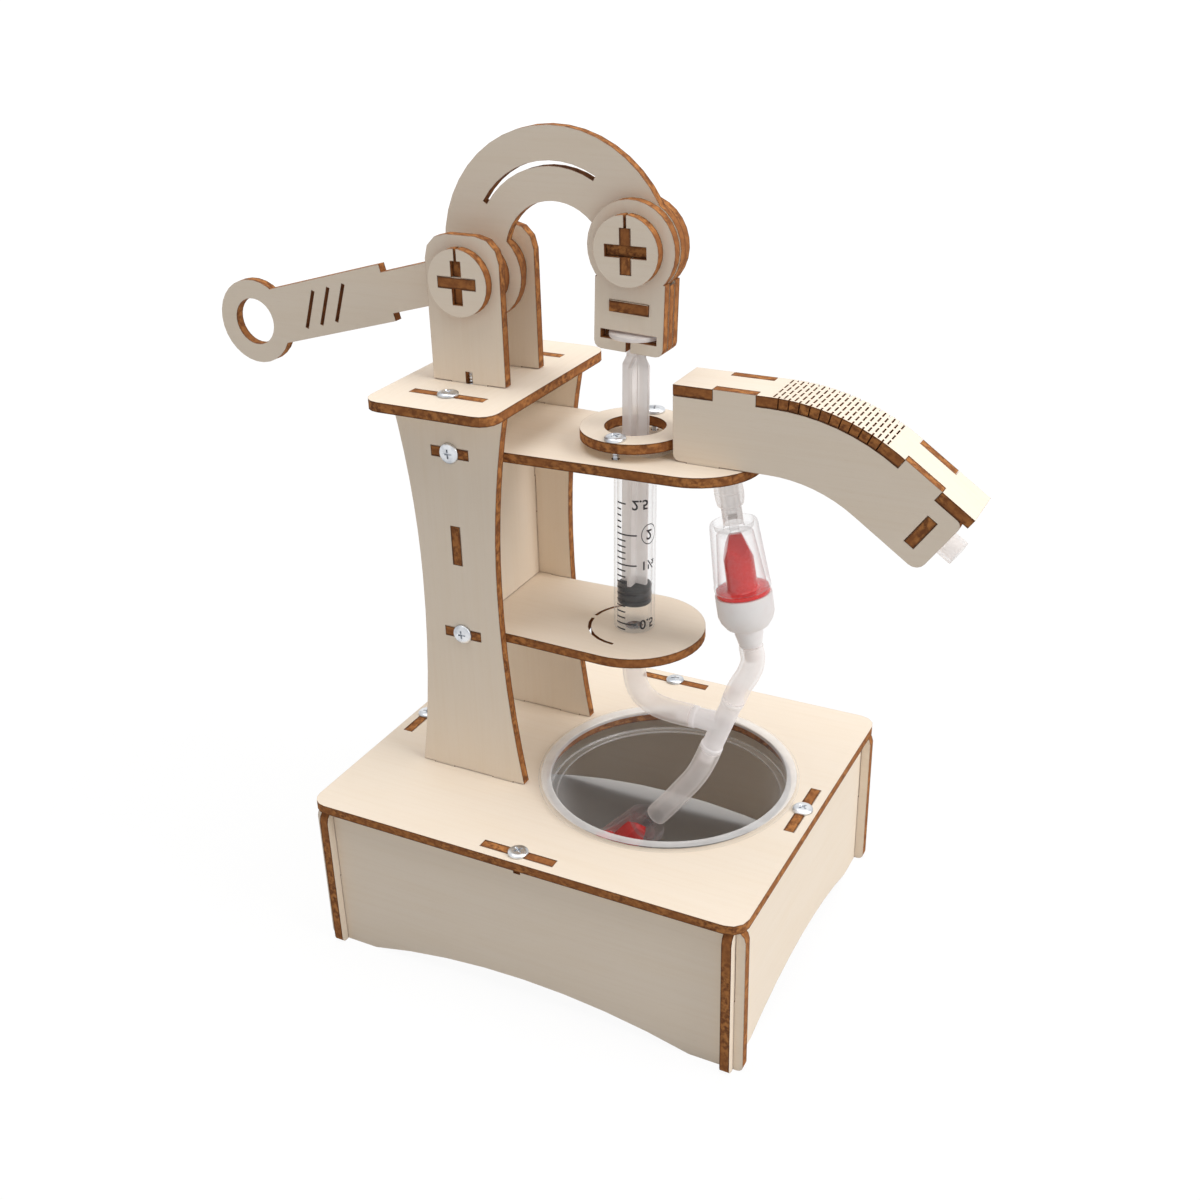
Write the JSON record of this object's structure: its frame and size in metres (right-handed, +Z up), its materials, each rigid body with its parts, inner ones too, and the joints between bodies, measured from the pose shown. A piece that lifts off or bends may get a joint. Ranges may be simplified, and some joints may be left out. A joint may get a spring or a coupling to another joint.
{
  "type": "hand water pump model",
  "caption": "Tabletop plywood hand pump: lever, link and syringe piston, check valves and hoses lift water from a sunken cup to a covered spout.",
  "frame": {"origin": "on the table under the middle of the whole outline", "axes": "+X from the lever's handle towards the spout, +Y from the front of the pump to its back, +Z up"},
  "size_m": [0.2034, 0.1, 0.208],
  "materials": {
    "ply": "laser-cut plywood with brown burnt edges",
    "zinc": "zinc-plated pan-head screws",
    "clear": "clear moulded plastic",
    "milky": "milky translucent plastic and silicone",
    "white": "white moulded plastic",
    "red": "red moulded plastic",
    "rubber": "black rubber"
  },
  "bodies": {
    "frame": {"base_deck": "ply", "base_front_panel": "ply", "base_rear_panel": "ply", "base_left_panel": "ply", "base_right_panel": "ply", "cup": "clear", "base_screw_front": "zinc", "base_screw_rear": "zinc", "base_screw_left": "zinc", "base_screw_right": "zinc", "tower_front_plate": "ply", "tower_rear_plate": "ply", "tower_cross_panel": "ply", "tower_head": "ply", "upper_shelf": "ply", "lower_shelf": "ply", "ring_plate": "ply", "ring_screw_front": "zinc", "ring_screw_rear": "zinc", "head_screw_front": "zinc", "head_screw_rear": "zinc", "shelf_screw_upper": "zinc", "shelf_screw_lower": "zinc", "front_cheek": "ply", "rear_cheek": "ply", "spout_front_side": "ply", "spout_rear_side": "ply", "spout_top_strip": "ply", "spout_brace": "ply", "spout_hose": "milky", "nozzle_hose": "milky", "riser_hose": "milky", "inlet_hose": "milky", "tee": "milky", "outlet_valve_base": "white", "outlet_valve_core": "red", "outlet_valve_body": "clear", "inlet_valve_base": "white", "inlet_valve_core": "red", "inlet_valve_body": "clear"},
    "lever": {"lever_arm": "ply", "lever_axle_flat": "ply", "lever_axle_upright": "ply", "lever_spacer_inner_front": "ply", "lever_spacer_inner_rear": "ply", "lever_spacer_outer_front": "ply", "lever_spacer_outer_rear": "ply", "lever_cap_front": "ply", "lever_cap_rear": "ply", "link_axle_flat": "ply", "link_axle_upright": "ply", "link_cap_front": "ply", "link_cap_rear": "ply"},
    "link": {"link_front_plate": "ply", "link_rear_plate": "ply", "link_middle_plate": "ply", "link_key": "ply"},
    "syringe": {"syringe_barrel": "clear"},
    "plunger": {"plunger": "milky", "plunger_seal": "rubber"}
  },
  "joints": [
    {"name": "lever_pivot", "type": "hinge", "parent": "frame", "child": "lever", "pos_m": [-0.0203, 0, 0.1735], "axis": [0, -1, 0], "range_deg": [-5, 22]},
    {"name": "link_pivot", "type": "hinge", "parent": "lever", "child": "link", "pos_m": [0.0205, 0, 0.183], "axis": [0, -1, 0], "range_deg": [-18.7, 4.25]},
    {"name": "syringe_rock", "type": "hinge", "parent": "frame", "child": "syringe", "pos_m": [0.018, 0, 0.086], "axis": [0, -1, 0], "range_deg": [-0.75, 3.3]},
    {"name": "plunger_slide", "type": "slide", "parent": "syringe", "child": "plunger", "axis": [0.0227, 0, 0.9997], "range_m": [-0.00338, 0.0149]}
  ],
  "couplings": [
    {"joint": "lever_pivot", "follows": "plunger_slide", "rad_per_m": 25.773},
    {"joint": "link_pivot", "follows": "plunger_slide", "rad_per_m": -21.907},
    {"joint": "syringe_rock", "follows": "plunger_slide", "rad_per_m": 3.866}
  ]
}
